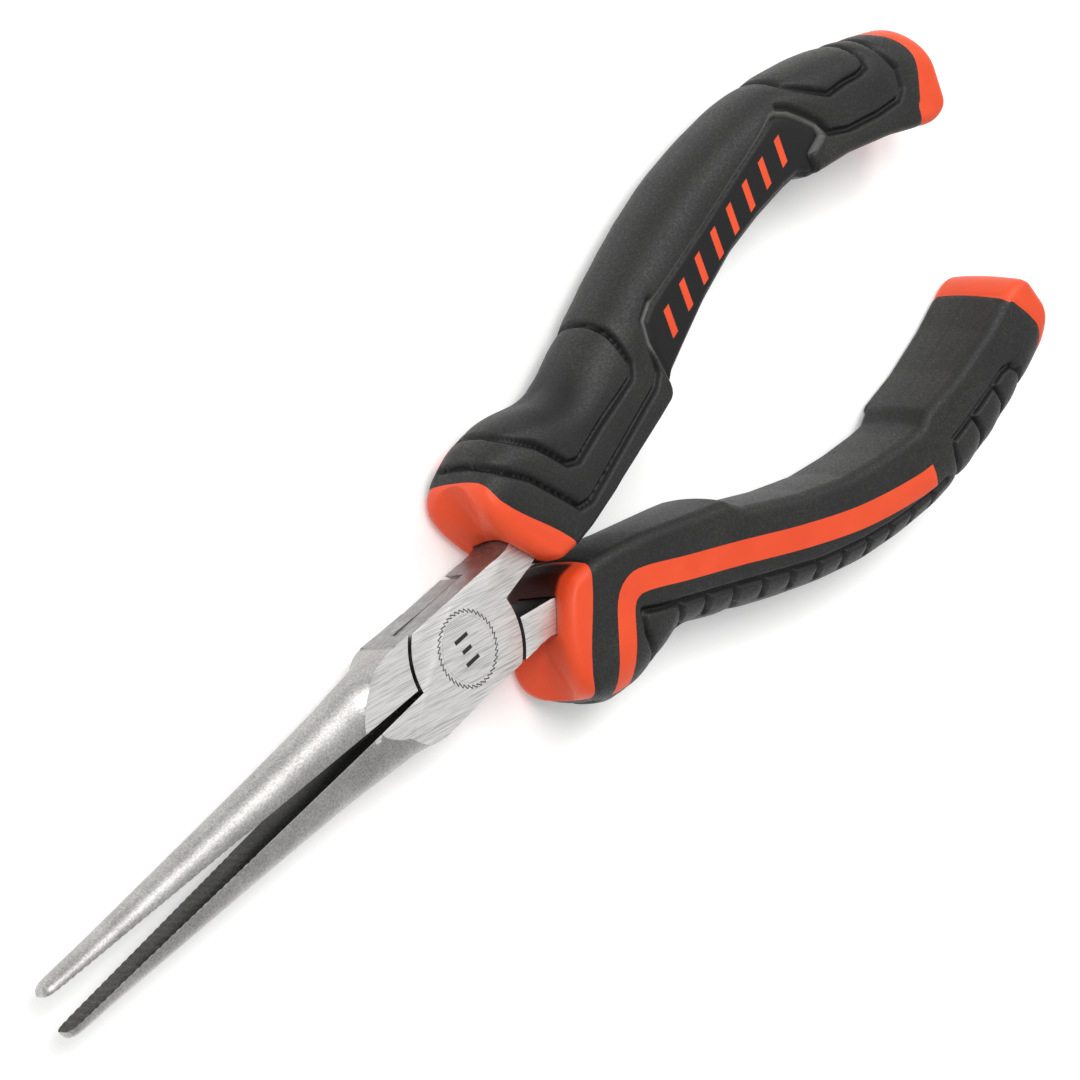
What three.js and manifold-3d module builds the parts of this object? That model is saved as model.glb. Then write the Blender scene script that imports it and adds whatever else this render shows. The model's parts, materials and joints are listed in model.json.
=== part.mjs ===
// Needle nose pliers, 4.5 inch size, one hinge, two-colour moulded grips.
// Units are millimetres. +X runs from the pivot to the jaw tips, +Z is up.
// The tool lies flat on its grips with the jaws a few degrees open.
import * as THREE from 'three';
import { mergeVertices } from 'three/addons/utils/BufferGeometryUtils.js';
import Module from 'manifold-3d';

const wasm = await Module();
wasm.setup();

// ---------------------------------------------------------------- dimensions
const OVERALL_LENGTH = 114.3;    // 4.5 inches, jaw tip to end of the grips; every
                                 // figure below is drawn 1.5 % large and brought
                                 // to this length in one step at the end
const HEAD_HALF_THICK = 2.0;     // forging, half of its 4 mm thickness
const HEAD_HALF_WIDTH = 3.85;    // flat-sided head at the pivot
const LAP_R = 5.4;               // round lap that turns inside the other half
const RECESS_R = 5.75;           // shoulder the round lap turns against
const LAP_GAP = 0.05;            // half of the clearance between the two laps
const REST_ANGLE = 1.9;          // each half is turned this far from closed
const JAW_TIP_X = 43.1;          // pivot to jaw tip
const JAW_FACE_GAP = 0.03;       // each gripping face stands off the centre line
const RIVET_R = 1.75;            // shank of the flush ground pivot rivet
const RIVET_HEAD_R = 2.45;       // countersunk ends of the rivet
const RIVET_HEAD_DEPTH = 0.55;
const RIVET_FIT_TIGHT = 0.02;    // radial, in the half that holds the rivet
const RIVET_FIT_RUNNING = 0.05;  // radial, in the half that turns on it
const TOOTH_FROM = 24.0;         // serrations on the gripping face
const TOOTH_TO = 42.0;
const TOOTH_PITCH = 0.9;
const TOOTH_DEPTH = 0.16;
const GRIP_HALF_THICK = 3.9;     // grips are 7.8 mm thick
const SKIN = 1.45;               // black sleeve thickness over the core
const PIECE_GAP = 0.06;          // clearance between moulded pieces
const TANG_GAP = 0.12;           // clearance round the tang inside the core
const PANEL_DROP = 0.35;         // recessed name panel on the thumb face
const GROOVE_W = 0.6;            // moulded grooves
const GROOVE_D = 0.55;
const INLAY_BARS = 8;            // slanted bars let into the panel
const TREAD_PITCH = 3.06;        // finger treads on the other face

// ---------------------------------------------------------------- helpers
const DEG = Math.PI / 180;
const lerp = (a, b, t) => a + (b - a) * t;
const turn = ([x, y], deg) => {
  const c = Math.cos(deg * DEG), s = Math.sin(deg * DEG);
  return [x * c - y * s, x * s + y * c];
};
// piecewise linear table lookup, table sorted by falling x
const at = (table, x) => {
  if (x >= table[0][0]) return table[0][1];
  for (let i = 1; i < table.length; i++) {
    if (x >= table[i][0]) {
      const [x0, y0] = table[i - 1], [x1, y1] = table[i];
      return lerp(y0, y1, (x - x0) / (x1 - x0));
    }
  }
  return table[table.length - 1][1];
};
const solid = (geometry) => {
  let g = geometry.clone();
  g.deleteAttribute('normal');
  g.deleteAttribute('uv');
  g = mergeVertices(g, 1e-5);
  return new wasm.Manifold(new wasm.Mesh({
    numProp: 3,
    vertProperties: new Float32Array(g.attributes.position.array),
    triVerts: new Uint32Array(g.index.array),
  }));
};
// a flat slab: plan outline between two heights
const slab = (points, z0, z1) => {
  const shape = new THREE.Shape(points.map(([x, y]) => new THREE.Vector2(x, y)));
  const g = new THREE.ExtrudeGeometry(shape, { depth: z1 - z0, bevelEnabled: false });
  g.translate(0, 0, z0);
  return solid(g);
};
const disc = (r, z0, z1, segments = 96) => {
  const g = new THREE.CylinderGeometry(r, r, z1 - z0, segments);
  g.rotateX(Math.PI / 2);
  g.translate(0, 0, (z0 + z1) / 2);
  return solid(g);
};
// skin a row of closed rings, each a list of [x, y, z]
const loft = (rings) => {
  const n = rings[0].length, pos = [], idx = [];
  for (const ring of rings) for (const p of ring) pos.push(...p);
  for (let i = 0; i + 1 < rings.length; i++) {
    for (let j = 0; j < n; j++) {
      const a = i * n + j, b = i * n + (j + 1) % n, c = a + n, d = b + n;
      idx.push(a, b, d, a, d, c);
    }
  }
  const last = (rings.length - 1) * n;
  for (let j = 1; j + 1 < n; j++) {
    idx.push(0, j + 1, j);
    idx.push(last, last + j, last + j + 1);
  }
  const build = (index) => {
    const g = new THREE.BufferGeometry();
    g.setAttribute('position', new THREE.Float32BufferAttribute(pos, 3));
    g.setIndex(index);
    return g;
  };
  let volume = 0;
  const P = (i) => new THREE.Vector3(pos[3 * i], pos[3 * i + 1], pos[3 * i + 2]);
  for (let t = 0; t < idx.length; t += 3) volume += P(idx[t]).dot(P(idx[t + 1]).cross(P(idx[t + 2])));
  if (volume < 0) for (let t = 0; t < idx.length; t += 3) [idx[t + 1], idx[t + 2]] = [idx[t + 2], idx[t + 1]];
  return solid(build(idx));
};
// band of constant width along a plan polyline, mitred at the corners
const band = (line, width) => {
  const left = [], right = [];
  for (let i = 0; i < line.length; i++) {
    const a = line[Math.max(0, i - 1)], b = line[i], c = line[Math.min(line.length - 1, i + 1)];
    const d0 = new THREE.Vector2(b[0] - a[0], b[1] - a[1]), d1 = new THREE.Vector2(c[0] - b[0], c[1] - b[1]);
    if (d0.length() < 1e-9) d0.copy(d1);
    if (d1.length() < 1e-9) d1.copy(d0);
    d0.normalize(); d1.normalize();
    const m = d0.clone().add(d1).normalize();
    const k = width / 2 / Math.max(0.5, m.dot(d0));
    left.push([b[0] - m.y * k, b[1] + m.x * k]);
    right.push([b[0] + m.y * k, b[1] - m.x * k]);
  }
  return [...right, ...left.reverse()];
};
const union = (list) => list.reduce((a, b) => a.add(b));
// the largest connected body, without the dust a cut along a curved face leaves
const mainBody = (body) => body.decompose().sort((a, b) => b.volume() - a.volume())[0].asOriginal().simplify(0.004);

// ---------------------------------------------------------------- steel half
// Jaw, in the closed position: flat gripping face on the centre line,
// half-round back, tapering to a blunt tip. [x, width, half height]
const JAW = [
  [5.6, 3.86, 14], [6.6, 3.85, 8], [7.2, 3.84, 5.2], [8.1, 3.78, 3.2], [9.1, 3.68, 2.47],
  [10.2, 3.55, 2.13], [11.2, 3.42, 2.0], [12.6, 3.22, 1.97], [15, 2.95, 1.94],
  [20, 2.5, 1.88], [26, 2.03, 1.7], [32, 1.58, 1.5], [38, 1.12, 1.3], [41, 0.95, 1.18],
  [JAW_TIP_X - 0.8, 0.86, 1.08], [JAW_TIP_X - 0.3, 0.72, 0.9], [JAW_TIP_X, 0.45, 0.55],
];
const jawRing = ([x, w, h]) => {
  const ring = [];
  const steps = 14;
  for (let i = 0; i <= steps; i++) {
    const t = -Math.PI / 2 + (Math.PI * i) / steps;
    const y = JAW_FACE_GAP + (w - JAW_FACE_GAP) * Math.pow(Math.max(0, Math.cos(t)), 0.92);
    ring.push([...turn([x, i === 0 || i === steps ? JAW_FACE_GAP : y], REST_ANGLE), h * Math.sin(t)]);
  }
  return ring;
};
// Tang plan outline, pivot to its buried end.
const TANG_OUTER = [[-1, -3.85], [-5.5, -3.85], [-6.3, -3.8], [-7.4, -3.85], [-9.5, -4.6], [-13, -6.0], [-20, -8.1],
  [-28, -11.2], [-36, -14.2], [-41, -15.6], [-46, -16.3], [-52, -16.5], [-57, -15.9], [-61, -14.9]];
const TANG_INNER = [[-61, -13.3], [-57, -14.1], [-52, -14.5], [-46, -14.3], [-41, -13.4], [-36, -11.9], [-28, -8.6],
  [-20, -5.2], [-13, -2.95], [-9, -1.6], [-5.4, -0.95], [-1, -0.95]];
const TANG = [...TANG_OUTER, ...TANG_INNER];

const makeHalf = () => {
  const T = HEAD_HALF_THICK;
  const jawRoot = [[1, JAW_FACE_GAP], [5.75, JAW_FACE_GAP], [5.75, HEAD_HALF_WIDTH], [1, HEAD_HALF_WIDTH]]
    .map((p) => turn(p, REST_ANGLE));
  const side = slab([[-7, -HEAD_HALF_WIDTH], [7, -HEAD_HALF_WIDTH], [7, HEAD_HALF_WIDTH], [-7, HEAD_HALF_WIDTH]], -T, T);
  const jaw = loft(JAW.map(jawRing)).intersect(slab([[4, -2], [50, -2], [50, 9], [4, 9]], -T, T));
  // comb of small teeth cut into the gripping face
  const comb = [];
  for (let x = TOOTH_FROM; x < TOOTH_TO - 1e-6; x += TOOTH_PITCH) {
    comb.push([x, JAW_FACE_GAP - 0.2], [x, JAW_FACE_GAP], [x + TOOTH_PITCH / 2, JAW_FACE_GAP + TOOTH_DEPTH]);
  }
  const end = TOOTH_FROM + comb.length / 3 * TOOTH_PITCH;
  const teeth = slab([[TOOTH_FROM - 0.01, -0.4], [end, -0.4], [end, JAW_FACE_GAP],
    ...comb.reverse().filter((p) => p[1] >= JAW_FACE_GAP)].map((p) => turn(p, REST_ANGLE)), -T - 1, T + 1);
  const outside = union([jaw, slab(jawRoot, -T, T), slab(TANG, -T, T)]).subtract(disc(RECESS_R, -T - 1, LAP_GAP));
  const lap = disc(LAP_R, LAP_GAP, T).intersect(side);
  let half = outside.add(lap).subtract(teeth);
  return mainBody(half);
};
const makeRivet = (grow, long) => {
  const T = HEAD_HALF_THICK + long, r = RIVET_R + grow, R = RIVET_HEAD_R + grow, d = RIVET_HEAD_DEPTH;
  const profile = [[0, -T], [R, -T], [R, -HEAD_HALF_THICK + 0.0], [r, -HEAD_HALF_THICK + d], [r, HEAD_HALF_THICK - d],
    [R, HEAD_HALF_THICK], [R, T], [0, T]];
  const pts = profile.filter((p, i) => i === 0 || Math.hypot(p[0] - profile[i - 1][0], p[1] - profile[i - 1][1]) > 1e-6)
    .map(([a, b]) => new THREE.Vector2(a, b));
  const g = new THREE.LatheGeometry(pts, 64);
  g.rotateX(Math.PI / 2);
  return solid(g);
};

// ---------------------------------------------------------------- grip form
// Widest line of the grip, seen in plan, on the side away from the other grip
// and on the side facing it.
const OUTER = [[2, -7.0], [-3.4, -7.6], [-5.5, -8.5], [-8, -10.35], [-9.6, -11.4], [-11.5, -11.95], [-14, -11.95],
  [-16, -11.7], [-18, -11.25], [-20, -11.4], [-23, -12.5], [-26, -13.65], [-30, -15.25], [-35, -17.0],
  [-40, -18.35], [-45, -19.1], [-50, -19.5], [-55, -19.3], [-60, -18.6], [-65, -17.4], [-70, -15.9], [-75, -13.9]];
const INNER = [[2, -0.3], [-9.3, -0.6], [-13, -0.5], [-15, -0.8], [-18.4, -1.6], [-23.2, -3.0], [-28.0, -4.4],
  [-28.6, -5.1], [-29.6, -5.95], [-32.6, -7.25], [-36.2, -8.75], [-41, -10.3], [-45.5, -11.1], [-49.5, -11.55],
  [-51.2, -11.6], [-52.5, -10.9], [-57.6, -10.4], [-63.0, -9.3], [-67.3, -8.0], [-75, -5.7]];
// The side facing the other grip leans: towards the rear its thumb-face edge
// stands closer to the other grip than its finger-face edge.
const LEAN = [[-20, 0], [-26, 0.06], [-45, 0.09], [-53, 0.12], [-65, 0.2], [-75, 0.22]];
const STATIONS = [-2.4, -5, -8, -11, -13.2, -16, -19, -22, -25, -28.2, -29, -32, -36, -40.5, -45, -50, -52.2, -53.4,
  -57, -61, -65, -69, -73.6];
const gripRing = (x, inset) => {
  const yi = at(INNER, x) - inset, yo = at(OUTER, x) + inset, h = GRIP_HALF_THICK - inset;
  const e = 0.85;                       // soft edge facing the other grip
  const b = Math.min(3.2, (yi - yo) * 0.45);
  const ring = [];
  for (const [dy, z] of [[0.75, -h], [0.2, -h + e], [0, 0], [0.2, h - e], [0.75, h]]) ring.push([x, yi - dy + at(LEAN, x) * z, z]);
  for (const t of [90, 68, 48, 28, 10]) ring.push([x, yo + b - b * Math.cos(t * DEG), h * Math.sin(t * DEG)]);
  for (const t of [-10, -28, -48, -68, -90]) ring.push([x, yo + b - b * Math.cos(t * DEG), h * Math.sin(t * DEG)]);
  return ring;
};
const form = (inset) => loft(STATIONS.map((x) => gripRing(x, inset)));
// Plan outline that trims the front of the collar and the end of the cap.
const trim = (inset) => {
  const i = inset;
  return [[-10.4 - i, 1.5], [-10.6 - i, -0.3], [-9.4 - i, -1.2], [-8.3 - i, -2.5], [-7.5 - i, -3.6], [-7.0 - i, -4.8],
    [-6.7 - i, -6.0], [-6.4 - i, -7.1], [-6.6 - i, -8.0], [-7.2 - i, -8.8], [-8.2 - i, -9.6], [-8.6 - i, -30], [-62, -30],
    [-66 + i, -18.4], [-69.4 + i, -16.6], [-71.6 + i, -14.9], [-72.8 + i, -12.8], [-73.0 + i, -10.8], [-72.2 + i, -9.0],
    [-70.8 + i, -7.6], [-69.0 + i, -6.8], [-65 + i, 1.5]];
};
const COLLAR_EDGE = [[-13.3, 2], [-13.1, -0.2], [-12.4, -1.3], [-11.1, -3.2], [-9.3, -5.8], [-7.6, -8.1], [-6.9, -9.3], [-6.6, -13.5]];
const CAP_EDGE = [[-65.4, 2], [-66.2, -8.6], [-67.1, -10.2], [-68.4, -12.6], [-68.8, -14.2], [-68.2, -15.8], [-67.4, -17.2], [-66.0, -23]];
const shift = (line, dx) => line.map(([x, y]) => [x + dx, y]);
const collarRegion = (dx) => [...shift(COLLAR_EDGE, dx), [0, -15], [4, -15], [4, 2]];
const capRegion = (dx) => [...shift(CAP_EDGE, dx).reverse(), [-80, 2], [-80, -23]];

// Orange stripe on the finger face, with a short leg that crosses the face
// behind the collar and runs over the edge.
const STRIPE = [[-50.0, -16.4], [-47.7, -16.1], [-43.1, -15.1], [-38.75, -13.85], [-33.0, -11.7], [-26.5, -8.95], [-21.2, -6.8],
  [-16.8, -4.95], [-15.1, -4.7], [-13.8, -5.4], [-12.3, -7.6], [-11.2, -9.4], [-9.6, -12.4]];
const STRIPE_W = 1.9;
// Slanted bars let into the recessed panel.
const INLAY_FROM = [-31.2, -9.5], INLAY_TO = [-50.2, -14.3];
const inlayBar = (k, grow) => {
  const t = k / (INLAY_BARS - 1);
  const c = [lerp(INLAY_FROM[0], INLAY_TO[0], t), lerp(INLAY_FROM[1], INLAY_TO[1], t) - 0.35 * Math.sin(Math.PI * t)];
  const w = 0.5 + grow, l = 1.15 + grow;
  return [[-w - 0.5, -l], [w - 0.5, -l], [w + 0.5, l], [-w + 0.5, l]].map(([u, v]) => {
    const p = turn([u, v], 14);
    return [c[0] + p[0], c[1] + p[1]];
  });
};
const PANEL = [[-27.9, 0], [-27.9, -9.3], [-28.4, -11.2], [-30.0, -12.1], [-38.3, -14.1], [-48.8, -16.9], [-50.9, -17.6],
  [-51.9, -17.5], [-53.1, -16.6], [-55.5, -14.1], [-55.4, -12.8], [-53.4, -12.2], [-52.4, 0]];
// Grooves of the thumb face.
const THUMB = [
  [[-10.6, -13.5], [-11.2, -11.5], [-12.4, -10.2], [-13.3, -9.3], [-15.2, -6.4], [-16.3, -6.0], [-19.7, -7.0], [-24.7, -8.2],
    [-25.3, -9.2], [-25.3, -12.0], [-24.9, -15]],
  [[-8.0, -13], [-8.4, -10.6], [-9.6, -9.2], [-11.4, -7.4], [-13.8, -4.0], [-14.3, -3.1], [-15.6, -2.9], [-26.5, -6.3],
    [-27.4, -7.1], [-27.9, -9.3]],
  [[-53.4, -20.5], [-54.4, -18.2], [-57.0, -16.2], [-58.0, -15.5], [-60.3, -15.4], [-62.3, -15.1], [-63.5, -15.2], [-63.8, -16.1],
    [-63.4, -20]],
  [[-52.1, -17.4], [-53.1, -16.8], [-55.5, -14.1], [-56.0, -12.9], [-58.4, -12.0], [-62.5, -11.3], [-65.3, -11.1], [-66.2, -11.7],
    [-66.6, -13.3], [-66.1, -15.2], [-65.4, -19]],
];
// Grooves of the finger face: a line along the treads, the cuts between them
// and the frame of the three large treads at the end.
const FINGER_LINE = [[-14.9, -12.6], [-14.5, -8.5], [-15.1, -6.8], [-17.2, -7.8], [-20.2, -9.1], [-25.1, -11.1], [-29.8, -13.0],
  [-34.3, -14.8], [-38.9, -16.1], [-43.6, -17.1], [-49.6, -17.8], [-51.4, -17.8]];
const FINGER_END = [[-53.6, -20.4], [-53.4, -16.6], [-53.8, -15.3], [-55.6, -15.1], [-59.2, -14.6], [-62.8, -13.9], [-64.0, -14.0],
  [-64.8, -15.0], [-65.4, -18.5]];

const groove = (line, top, whole, inner) => {
  const z0 = top ? 0.2 : -6, z1 = top ? 6 : -0.2;
  return whole.subtract(inner).intersect(slab(band(line, GROOVE_W), z0, z1));
};

const makeGrip = () => {
  const whole = form(0).intersect(slab(trim(0), -6, 6))
    .intersect(loftTrim());
  const cut = form(GROOVE_D);
  const inside = (inset) => form(inset).intersect(slab(trim(0.6), -6, 6));

  const stripeAt = (w) => slab(band(STRIPE, w), -8, -0.9).intersect(whole);
  const bars = (grow) => union([...Array(INLAY_BARS).keys()].map((k) => slab(inlayBar(k, grow), 0, 8)));

  // orange core: collar, inner tube, stripe, inlay bars and end cap in one shot
  const proud = form(0.12);
  let core = whole.intersect(slab(collarRegion(0), -6, 6))
    .add(whole.intersect(slab(capRegion(0), -6, 6)))
    .add(inside(SKIN))
    .add(stripeAt(STRIPE_W))
    .add(bars(0).intersect(proud).intersect(whole));
  const cavity = slab(grown(TANG_GAP), -HEAD_HALF_THICK - TANG_GAP, HEAD_HALF_THICK + TANG_GAP);
  const mouth = slab([[-2, -0.6], [-11.2, -0.75], [-11.2, -5.45], [-9.2, -4.65], [-7.2, -4.15], [-2, -4.2]], -HEAD_HALF_THICK - 0.3, HEAD_HALF_THICK + 0.3);
  core = core.subtract(cavity).subtract(mouth);

  // black sleeve moulded over it
  let sleeve = whole
    .subtract(slab(collarRegion(-PIECE_GAP), -7, 7))
    .subtract(slab(capRegion(PIECE_GAP), -7, 7))
    .subtract(inside(SKIN - PIECE_GAP))
    .subtract(slab(band(STRIPE, STRIPE_W + 2 * PIECE_GAP), -9, -0.9 + PIECE_GAP))
    .subtract(bars(PIECE_GAP));
  sleeve = sleeve.subtract(slab(PANEL, GRIP_HALF_THICK - PANEL_DROP, 8));
  for (const line of THUMB) sleeve = sleeve.subtract(groove(line, true, whole, cut));
  sleeve = sleeve.subtract(groove(FINGER_LINE, false, whole, cut));
  sleeve = sleeve.subtract(groove(FINGER_END, false, whole, cut));
  for (let k = 0; k < 11; k++) {
    const x = -18.85 - k * TREAD_PITCH, y = at(OUTER, x);
    sleeve = sleeve.subtract(groove([[x, y + 2.4], [x + 0.5, y - 2]], false, whole, cut));
  }
  for (const x of [-57.2, -61.1]) {
    const y = at(OUTER, x);
    sleeve = sleeve.subtract(groove([[x, y + 3.9], [x - 0.4, y + 2.2], [x + 0.3, y - 2]], false, whole, cut));
  }
  return { core: mainBody(core), sleeve: mainBody(sleeve) };
};
// side-view trim that softens the front of the collar and the end of the cap
function loftTrim() {
  const h = GRIP_HALF_THICK;
  const outline = [[-2.2, -h + 1.0], [-4.6, -h], [-71.8, -h], [-73.2, -h + 1.3], [-73.2, h - 1.3], [-71.8, h], [-4.6, h], [-2.2, h - 1.0]];
  const g = new THREE.ExtrudeGeometry(new THREE.Shape(outline.map(([x, z]) => new THREE.Vector2(x, z))),
    { depth: 40, bevelEnabled: false });
  g.rotateX(Math.PI / 2);
  g.translate(0, 5, 0);
  return solid(g);
}
// tang outline pushed out by a clearance
function grown(c) {
  const outer = TANG_OUTER.map(([x, y]) => [x, y - c]);
  const inner = TANG_INNER.map(([x, y]) => [x, y + c]);
  outer[outer.length - 1][0] -= c;
  inner[0][0] -= c;
  return [...outer, ...inner];
}

// ---------------------------------------------------------------- assembly
const half = makeHalf();
const rivet = makeRivet(0, 0);
const steelA = half.subtract(makeRivet(RIVET_FIT_TIGHT, 0.5));
const steelB = half.subtract(makeRivet(RIVET_FIT_RUNNING, 0.5));
const grip = makeGrip();

const steel = new THREE.MeshStandardMaterial({ color: 0xb9bbbd, metalness: 1, roughness: 0.38, name: 'steel' });
const orange = new THREE.MeshStandardMaterial({ color: 0xf4603c, metalness: 0, roughness: 0.45, name: 'orange_core' });
const black = new THREE.MeshStandardMaterial({ color: 0x3a3a38, metalness: 0, roughness: 0.75, name: 'black_overmould' });

const parts = [
  ['handle_half_upper_lap', steelA, steel, false],
  ['handle_half_lower_lap', steelB, steel, true],
  ['pivot_rivet', rivet, steel, false],
  ['grip_core_thumb_side', grip.core, orange, false],
  ['grip_core_finger_side', grip.core, orange, true],
  ['grip_sleeve_thumb_side', grip.sleeve, black, false],
  ['grip_sleeve_finger_side', grip.sleeve, black, true],
];

const toMesh = ([name, body, material, turned]) => {
  const mesh = body.getMesh();
  const stride = mesh.numProp, vp = mesh.vertProperties, count = vp.length / stride;
  const pos = new Float32Array(count * 3);
  for (let i = 0; i < count; i++) {
    const x = vp[i * stride], y = vp[i * stride + 1], z = vp[i * stride + 2];
    pos[3 * i] = x; pos[3 * i + 1] = turned ? -y : y; pos[3 * i + 2] = turned ? -z : z;
  }
  const g = new THREE.BufferGeometry();
  g.setAttribute('position', new THREE.BufferAttribute(pos, 3));
  g.setIndex(Array.from(mesh.triVerts));
  g.computeVertexNormals();
  const m = new THREE.Mesh(g, material);
  m.name = name;
  return m;
};

const group = new THREE.Group();
group.name = 'needle_nose_pliers';
const meshes = parts.map(toMesh);
const box = new THREE.Box3();
for (const m of meshes) { m.geometry.computeBoundingBox(); box.union(m.geometry.boundingBox); }
const origin = new THREE.Vector3((box.min.x + box.max.x) / 2, (box.min.y + box.max.y) / 2, box.min.z);
const k = OVERALL_LENGTH / (box.max.x - box.min.x);
for (const m of meshes) {
  m.geometry.translate(-origin.x, -origin.y, -origin.z);
  m.geometry.scale(k, k, k);
  group.add(m);
}

export default group;
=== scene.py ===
# %% [markdown]
# # Needle nose pliers, 4.5 inch
# A small pair of long-nosed pliers: two forged steel halves that turn on one
# flush rivet, each with a two-colour moulded grip. The CAD model gives sizes,
# places and the hinge. This script gives the surfaces their real shapes and
# finishes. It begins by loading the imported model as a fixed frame.

# %% Load the frame
import json, math
import bpy, bmesh
import numpy as np
from mathutils import Matrix, Vector

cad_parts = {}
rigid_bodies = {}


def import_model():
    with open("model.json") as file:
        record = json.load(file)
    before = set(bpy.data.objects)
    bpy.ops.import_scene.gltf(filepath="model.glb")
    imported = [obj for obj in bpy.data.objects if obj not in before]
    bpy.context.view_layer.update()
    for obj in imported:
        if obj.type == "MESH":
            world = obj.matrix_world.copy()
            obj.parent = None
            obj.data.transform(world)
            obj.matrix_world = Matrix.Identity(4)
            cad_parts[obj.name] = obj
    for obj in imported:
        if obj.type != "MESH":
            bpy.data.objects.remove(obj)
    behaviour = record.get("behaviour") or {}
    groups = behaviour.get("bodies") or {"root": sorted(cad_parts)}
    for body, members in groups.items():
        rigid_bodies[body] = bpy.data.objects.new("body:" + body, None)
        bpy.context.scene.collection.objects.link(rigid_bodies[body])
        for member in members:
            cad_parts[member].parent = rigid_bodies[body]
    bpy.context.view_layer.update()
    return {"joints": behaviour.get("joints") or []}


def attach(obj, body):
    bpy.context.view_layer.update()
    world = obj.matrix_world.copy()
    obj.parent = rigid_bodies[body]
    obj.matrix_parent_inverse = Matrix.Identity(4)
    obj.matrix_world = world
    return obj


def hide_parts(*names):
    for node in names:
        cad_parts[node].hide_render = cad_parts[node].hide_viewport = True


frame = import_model()
hinge = frame["joints"][0]
PIVOT = Vector(hinge["pos_m"])           # centre of the rivet, mid-thickness
PIVOT_ARRAY = np.array(PIVOT)
THUMB_BODY, FINGER_BODY = hinge["parent"], hinge["child"]
print("pivot at", [round(c * 1000, 3) for c in PIVOT], "mm")

# %% [markdown]
# ## Drawing units
# The halves are drawn in millimetres about the rivet, with x towards the jaw
# tips, y across and z up from the middle of the thickness. As in the CAD the
# drawing is 1.5 % large, so one drawn millimetre is worth a little less than
# a real one. Both halves and both grips are the same parts, turned over about
# the x axis, so each is drawn once, for the half whose jaw is on the +y side.

# %% Units, turning, and lines in the plan
MM = 0.98476e-3


def place(points):
    """Drawn millimetres to metres in the frame."""
    return np.asarray(points, float) * MM + PIVOT_ARRAY


def turn(points, degrees):
    c, s = math.cos(math.radians(degrees)), math.sin(math.radians(degrees))
    return [(x * c - y * s, x * s + y * c) for x, y in points]


def along(line, x, soft=0.0):
    """Height of a line at x, averaged over a small window so that corners are soft."""
    line = sorted(line)
    xs, ys = [p[0] for p in line], [p[1] for p in line]
    steps = np.linspace(-soft, soft, 9) if soft else [0.0]
    return sum(np.interp(np.asarray(x) + d, xs, ys) for d in steps) / len(steps)


def curve_through(line, spacing):
    """A smooth line through points (Catmull-Rom), with about equal steps."""
    p = np.asarray(line, float)
    p = np.vstack([2 * p[0] - p[1], p, 2 * p[-1] - p[-2]])
    out = []
    for i in range(1, len(p) - 2):
        n = max(2, int(np.hypot(*(p[i + 1] - p[i])[:2]) / spacing))
        t = np.linspace(0, 1, n, endpoint=False)[:, None]
        a, b, c, d = p[i - 1], p[i], p[i + 1], p[i + 2]
        bend = 2 * a - 5 * b + 4 * c - d + t * (3 * (b - c) + d - a)
        out.append(b + 0.5 * t * (c - a + t * bend))
    out.append(p[-2][None])
    return np.vstack(out)


def distance(line, x, y):
    """Distance in the plan from each point to a polyline."""
    best = np.full(x.shape, 1e9)
    for (ax, ay), (bx, by) in zip(line[:-1], line[1:]):
        dx, dy = bx - ax, by - ay
        t = np.clip(((x - ax) * dx + (y - ay) * dy) / (dx * dx + dy * dy + 1e-12), 0, 1)
        best = np.minimum(best, np.hypot(x - ax - t * dx, y - ay - t * dy))
    return best


def inside(polygon, x, y):
    """True where a point lies inside a closed outline."""
    hit = np.zeros(x.shape, bool)
    for (ax, ay), (bx, by) in zip(polygon, list(polygon[1:]) + [polygon[0]]):
        cross = (ay > y) != (by > y)
        with np.errstate(divide="ignore", invalid="ignore"):
            hit ^= cross & (x < (bx - ax) * (y - ay) / (by - ay) + ax)
    return hit


def ease(t):
    """0 to 1 with a soft start and end."""
    t = np.clip(t, 0, 1)
    return t * t * (3 - 2 * t)


# %% [markdown]
# ## Three ways to make a shape
# `plate` is a flat shape cut from bar: its outline is filled and extruded.
# `skin` is a closed tube with rounded ends: Blender makes a flat grid, its
# points are moved on to the sections, and the seam and the poles are merged.
# `carve` joins, cuts or intersects two of them with a Boolean modifier, as a
# maker welds on stock or mills it away, and then applies it.

# %% Plate, skin and carve
MERGE = 1e-7                    # metres


def new_piece(name, bm):
    mesh = bpy.data.meshes.new(name)
    bm.to_mesh(mesh)
    bm.free()
    piece = bpy.data.objects.new(name, mesh)
    bpy.context.scene.collection.objects.link(piece)
    return piece


def raise_plate(bm, outline, z0, z1):
    """Add one filled and extruded outline to a mesh in the making."""
    face = bm.faces.new([bm.verts.new(place((x, y, z0))) for x, y in outline])
    rise = bmesh.ops.extrude_face_region(bm, geom=[face])["geom"]
    lifted = [v for v in rise if isinstance(v, bmesh.types.BMVert)]
    bmesh.ops.translate(bm, verts=lifted, vec=(0, 0, (z1 - z0) * MM))
    bmesh.ops.recalc_face_normals(bm, faces=bm.faces)


def plate(name, outline, z0, z1):
    bm = bmesh.new()
    raise_plate(bm, outline, z0, z1)
    return new_piece(name, bm)


def skin(name, rings):
    """rings: array (rows, columns, 3) in drawn mm; first and last row are poles."""
    rows, columns = rings.shape[:2]
    bm = bmesh.new()
    bmesh.ops.create_grid(bm, x_segments=rows - 1, y_segments=columns, size=1.0)
    for v in bm.verts:
        row = round((v.co.x + 1) / 2 * (rows - 1))
        column = round((v.co.y + 1) / 2 * columns) % columns
        v.co = rings[row, column] * MM + PIVOT_ARRAY
    bmesh.ops.remove_doubles(bm, verts=bm.verts, dist=MERGE)
    bmesh.ops.recalc_face_normals(bm, faces=bm.faces)
    return new_piece(name, bm)


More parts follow.
